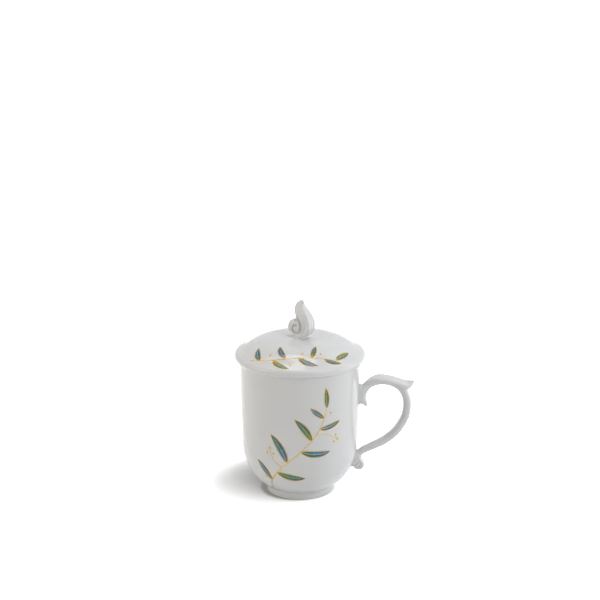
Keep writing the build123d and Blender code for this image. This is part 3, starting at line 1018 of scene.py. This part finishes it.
class KnobClay:
    """The knob's clay as a distance field, with u across the face, v out of it and h up from the lid."""

    # Level sections of the flame: height, lean, width and thickness as shares of the knob's own sizes
    FLAME = [
        (0.03, 0.12, 0.56, 0.8), (0.1, 0.46, 0.83, 0.92), (0.2, 0.84, 0.98, 0.97), (0.34, 1.0, 1.02, 1.0),
        (0.46, 0.93, 1.0, 0.97), (0.55, 0.75, 1.0, 0.9), (0.64, 0.49, 0.96, 0.82), (0.73, 0.21, 0.83, 0.72),
        (0.81, 0.09, 0.67, 0.61), (0.88, 0.12, 0.54, 0.5), (0.935, 0.22, 0.4, 0.4), (0.98, 0.34, 0.22, 0.26),
        (1.0, 0.38, 0.08, 0.12),
    ]
    # Middle of the coil, of its eye and of the neck, and the groove from the notch beside the flame round
    # the eye
    COIL = (-3.4, 6.3)
    EYE = (-0.9, 6.3)
    NECK = 0.3
    GROOVE = [
        (0.6, 7.6), (2.2, 5.6), (3.4, 3.3), (3.7, 1.1), (3.1, -0.9), (1.7, -2.4), (-0.3, -2.9), (-2.1, -2.0),
        (-2.8, -0.1), (-2.3, 1.6), (-0.8, 2.4), (0.8, 2.1), (1.7, 0.9),
    ]
    # Slanting cut under the coil: a point on it and its direction down and out
    CUT_POINT, CUT_WAY = (-2.5, 1.0), (-0.41, -0.91)
    # Run of the clay between flame and coil, at that cut, and between knob and neck
    COIL_RUN, CUT_RUN, NECK_RUN = 0.35, 1.2, 1.0
    # Hollow beside the crest: how far in from the outline it is deepest, and its half width
    HOLLOW_PLACE, HOLLOW_WIDTH = -3.8, 1.6
    # Spread of the eye in square millimetres, the most rounding that an edge takes as a share of the half
    # thickness, and how far the slip pad is let into the glaze
    EYE_SPREAD, MOST_ROUND, PAD_SINK = 2.2, 0.8, 0.15
    # Where each soft change starts and ends, across the face, up the knob, or in from the outline
    CHANGES = {
        "right": (-1.0, 3.0), "below tip": (25.0, 17.0), "foot": (6.0, 2.5), "foot right": (-3.0, 1.0),
        "crest": (-3.2, -0.9), "hollow top": (17.0, 11.0), "hollow foot": (2.5, 6.0), "rounding": (-1.5, 2.0),
        "band": (-2.2, -0.9), "band right": (0.0, 2.0), "band foot": (2.0, 6.0), "band top": (26.0, 19.0),
    }

    def __init__(self):
        self.size = k = settings("mug_knob")
        self.flame = curve([(height * k.height, lean * k.flame_lean, width * k.flame_width / 2,
                             thick * k.flame_thickness / 2) for height, lean, width, thick in self.FLAME])
        self.groove = curve(np.add(self.EYE, self.GROOVE), 6)

    def ease(self, value, change):
        """Smooth step over one of the named changes."""
        return ramp(value, *self.CHANGES[change])

    def form(self, u, v, h):
        """Flame and coil, with the crest, the hollow, the groove and the flutes."""
        k = self.size
        heights = self.flame[:, 0]
        middle, half, thick = (np.interp(h, heights, self.flame[:, column]) for column in (1, 2, 3))
        lean = np.interp(h, heights, np.gradient(self.flame[:, 2] + np.abs(self.flame[:, 1]), heights))
        flame = np.maximum((np.abs(u - middle) - half) / np.hypot(1, lean), h - k.height)
        coil = oval(u - self.COIL[0], h - self.COIL[1], k.coil_width / 2, k.coil_height / 2)
        outline = melt(flame, coil, self.COIL_RUN)
        below = self.CUT_WAY[0] * (u - self.CUT_POINT[0]) + self.CUT_WAY[1] * (h - self.CUT_POINT[1])
        outline = carve(outline, -below, self.CUT_RUN)

        right = self.ease(u - middle, "right") * self.ease(h, "below tip")
        crest = np.maximum(right, self.ease(h, "foot") * self.ease(u, "foot right"))
        crest = crest * self.ease(outline, "crest")
        hollow = right * self.ease(h, "hollow top") * self.ease(h, "hollow foot")
        hollow = hollow * np.exp(-((outline - self.HOLLOW_PLACE) / self.HOLLOW_WIDTH) ** 2)
        thick = thick + k.crest_rise * crest - k.hollow_depth * hollow

        # The groove gets shallower and narrower on its way in, and fades out beside the eye
        beside, place = nearest(self.groove, u, h)
        inward = place / (len(self.groove) - 1)
        depth = k.groove_depth * (1 - 0.3 * inward) * ramp(inward, 1.0, 0.85)
        thick = thick - depth * np.exp(-(beside / (k.groove_width * (1 - 0.35 * inward))) ** 2)
        from_eye = (u - self.EYE[0]) ** 2 + (h - self.EYE[1]) ** 2
        thick = thick + k.eye_rise * np.exp(-from_eye / self.EYE_SPREAD)

        edge = k.back_round + (k.crest_round - k.back_round) * self.ease(u - middle, "rounding")
        form = overlap(outline, np.abs(v) - thick, np.minimum(edge, self.MOST_ROUND * thick))
        band = self.ease(outline, "band") * self.ease(u - middle, "band right")
        band = band * self.ease(h, "band foot") * self.ease(h, "band top")
        return form + k.flute_depth * band * 0.5 * (1 - np.cos(2 * math.pi * v / k.flute_spacing))

    def clay(self, u, v, h):
        """Knob on its neck, run into the lid."""
        k = self.size
        neck = np.maximum(np.hypot(u - self.NECK, v) - k.neck_radius, h - k.neck_height)
        return melt(melt(self.form(u, v, h), neck, self.NECK_RUN), h, k.joint_fillet)

    def knob(self, u, v, h):
        """Knob down to the slip pad."""
        return np.maximum(self.clay(u, v, h), self.size.pad_height - h)

    def slip(self, u, v, h):
        """Slip pad under the knob, tucked under the knob's skin at its top and let into the glaze below."""
        k = self.size
        top = k.pad_height
        pad = self.clay(u, v, h) + SKIN * (1 + ramp(h, top - SLIP_STRETCH, top))
        level = np.maximum(h - top - SLIP_LAP, -self.PAD_SINK - h)
        return np.maximum(np.maximum(pad, level), np.hypot(u, v) - k.pad_radius)

    def placed(self, points):
        """Points turned to the knob's facing and set on the lid."""
        c, s = math.cos(self.size.facing), math.sin(self.size.facing)
        u, v, h = points.T
        return np.stack([u * c - v * s, -u * s - v * c, h + LID_TOP], 1)


class MUG_OT_knob(bpy.types.Operator):
    """Model the scroll knob"""

    bl_idname = "mug.knob"
    bl_label = "Knob"

    def execute(self, context):
        form = KnobClay()
        low, high = (-10, -6.4, 0.5), (12, 6.4, form.size.height + 1)
        points, faces = skinned(form.knob, low, high, form.size.grain)
        points = form.placed(points)
        place_piece("knob_body", points, faces, [glazed_porcelain()], "lid", ["knob"])
        return {"FINISHED"}


class MUG_OT_slip(bpy.types.Operator):
    """Lay the fired slip under the handle's roots and under the knob"""

    bl_idname = "mug.slip"
    bl_label = "Slip"

    # Mesh steps of the beads and of the pad, as shares of the steps of handle and knob
    BEAD_STEP, PAD_STEP = 0.5, 0.7

    def execute(self, context):
        form = HandleClay()
        h = form.size
        for node, middle in (("upper_handle_slip", h.top_root), ("lower_handle_slip", h.low_root)):
            low, high = (28, -8, middle - 11), (43, 8, middle + 11)
            points, faces = skinned(form.slip, low, high, self.BEAD_STEP * h.grain)
            place_piece(node + "_bead", points, faces, [glazed_porcelain()], "cup", [node])
        form = KnobClay()
        low, high = (-9, -9, -0.3), (9, 9, 1.6)
        points, faces = skinned(form.slip, low, high, self.PAD_STEP * form.size.grain)
        points = form.placed(points)
        place_piece("knob_slip_pad", points, faces, [glazed_porcelain()], "lid", ["knob_slip"])
        return {"FINISHED"}


class MUG_OT_stage(bpy.types.Operator):
    """Set the white table, the softboxes and the camera"""

    bl_idname = "mug.stage"
    bl_label = "Stage"

    # Half the width of the table, the point that the lamps aim at and the camera's far limit, in metres
    TABLE = 6
    AIM = Vector((0, 0, 0.06))
    FAR_LIMIT = 30
    # Width of the camera's sensor in millimetres
    SENSOR = 36.0
    # Each softbox with its power's setting, its place and size in metres, and its tint
    LAMPS = [
        ("key_softbox", "key_power", (0.58, -0.5, 0.62), (0.45, 0.45), "#FFFFFF"),
        ("top_softbox", "top_power", (0.06, 0.06, 0.95), (0.75, 0.28), "#F8FBFF"),
        ("lamp_left", "lamp_left_power", (-0.45, 0.12, 0.84), (0.36, 0.3), "#FFFFFF"),
        ("lamp_right", "lamp_right_power", (0.56, 0.36, 0.72), (0.5, 0.45), "#FFFFFF"),
        ("left_softbox", "left_power", (-0.93, -0.27, 0.32), (0.6, 0.6), "#FFF6EA"),
        ("right_softbox", "right_power", (0.97, 0.0, 0.3), (0.6, 0.6), "#F4F9FF"),
    ]

    def table(self, scene):
        """Wide plane that the mug stands on."""
        mesh = bpy.data.meshes.new("studio_table")
        corners = [(x * self.TABLE, y * self.TABLE, 0) for x, y in ((-1, -1), (1, -1), (1, 1), (-1, 1))]
        mesh.from_pydata(corners, [], [(0, 1, 2, 3)])
        table = bpy.data.objects.new("studio_table", mesh)
        scene.collection.objects.link(table)
        mesh.materials.append(white_table())

    def room(self, scene, stage):
        """Pale room that lights the mug, and plain white where it is looked at."""
        scene.world = world = bpy.data.worlds.new("white_room")
        world.use_nodes = True
        world.node_tree.nodes.clear()
        add = functools.partial(add_node, world.node_tree)
        height = add("SeparateXYZ", {0: add("TexCoord").outputs["Generated"]}).outputs["Z"]
        sky = add("MapRange", {"Value": height, "To Min": stage.horizon, "To Max": stage.zenith})
        room = add("Background", {"Color": rgba((1, 1, 1)), "Strength": sky})
        white = add("Background", {"Color": rgba((1, 1, 1)), "Strength": 1.0})
        add("OutputWorld", {"Surface": add("MixShader", {0: looked_at(add), 1: room, 2: white})})

    def lamps(self, scene, stage):
        """Softboxes round the mug."""
        for name, setting, spot, (wide, tall), tint in self.LAMPS:
            lamp = bpy.data.lights.new(name, "AREA")
            lamp.shape = "RECTANGLE"
            lamp.size, lamp.size_y = wide, tall
            lamp.energy, lamp.color = getattr(stage, setting), linear(tint)
            holder = bpy.data.objects.new(name, lamp)
            scene.collection.objects.link(holder)
            holder.location = spot
            holder.rotation_euler = (self.AIM - holder.location).to_track_quat("-Z", "Y").to_euler()

    def camera(self, scene, stage):
        """Camera in front of the mug, looking down on it a little."""
        camera = bpy.data.cameras.new("product_camera")
        camera.sensor_width, camera.lens = self.SENSOR, stage.lens
        camera.clip_end = self.FAR_LIMIT
        scene.camera = holder = bpy.data.objects.new("product_camera", camera)
        scene.collection.objects.link(holder)
        holder.location = (0, -stage.camera_back * MM, stage.camera_height * MM)
        holder.rotation_euler = (stage.camera_pitch, 0, 0)

    def execute(self, context):
        scene, stage = context.scene, settings("mug_stage")
        self.table(scene)
        self.room(scene, stage)
        self.lamps(scene, stage)
        self.camera(scene, stage)
        scene.view_settings.view_transform = "Standard"
        return {"FINISHED"}


class MUG_PT_panel(bpy.types.Panel):
    """Steps of the mug in the 3D view's sidebar"""

    bl_idname = "MUG_PT_panel"
    bl_label = "Tea Mug"
    bl_space_type = "VIEW_3D"
    bl_region_type = "UI"
    bl_category = "Tea Mug"

    def draw(self, context):
        """Show one button for each step."""
        for step in STEPS:
            self.layout.operator(step.bl_idname)


GROUPS = {
    "mug_cup": MugCupSettings,
    "mug_lid": MugLidSettings,
    "mug_handle": MugHandleSettings,
    "mug_knob": MugKnobSettings,
    "mug_finish": MugFinishSettings,
    "mug_stage": MugStageSettings,
}
STEPS = [MUG_OT_cup, MUG_OT_lid, MUG_OT_cup_sprig, MUG_OT_lid_sprig, MUG_OT_handle, MUG_OT_knob, MUG_OT_slip,
         MUG_OT_stage]


def register():
    """Add the settings, the operators and the panel."""
    for name, group in GROUPS.items():
        bpy.utils.register_class(group)
        setattr(bpy.types.Scene, name, bpy.props.PointerProperty(type=group))
    for kind in STEPS + [MUG_PT_panel]:
        bpy.utils.register_class(kind)


def unregister():
    """Take them away again, last first."""
    for kind in reversed(STEPS + [MUG_PT_panel]):
        bpy.utils.unregister_class(kind)
    for name, group in reversed(GROUPS.items()):
        delattr(bpy.types.Scene, name)
        bpy.utils.unregister_class(group)


def main():
    """Build the mug step by step."""
    register()
    bpy.ops.mug.cup()
    bpy.ops.mug.lid()
    bpy.ops.mug.cup_sprig()
    bpy.ops.mug.lid_sprig()
    bpy.ops.mug.handle()
    bpy.ops.mug.knob()
    bpy.ops.mug.slip()
    bpy.ops.mug.stage()


if __name__ == "__main__":
    main()
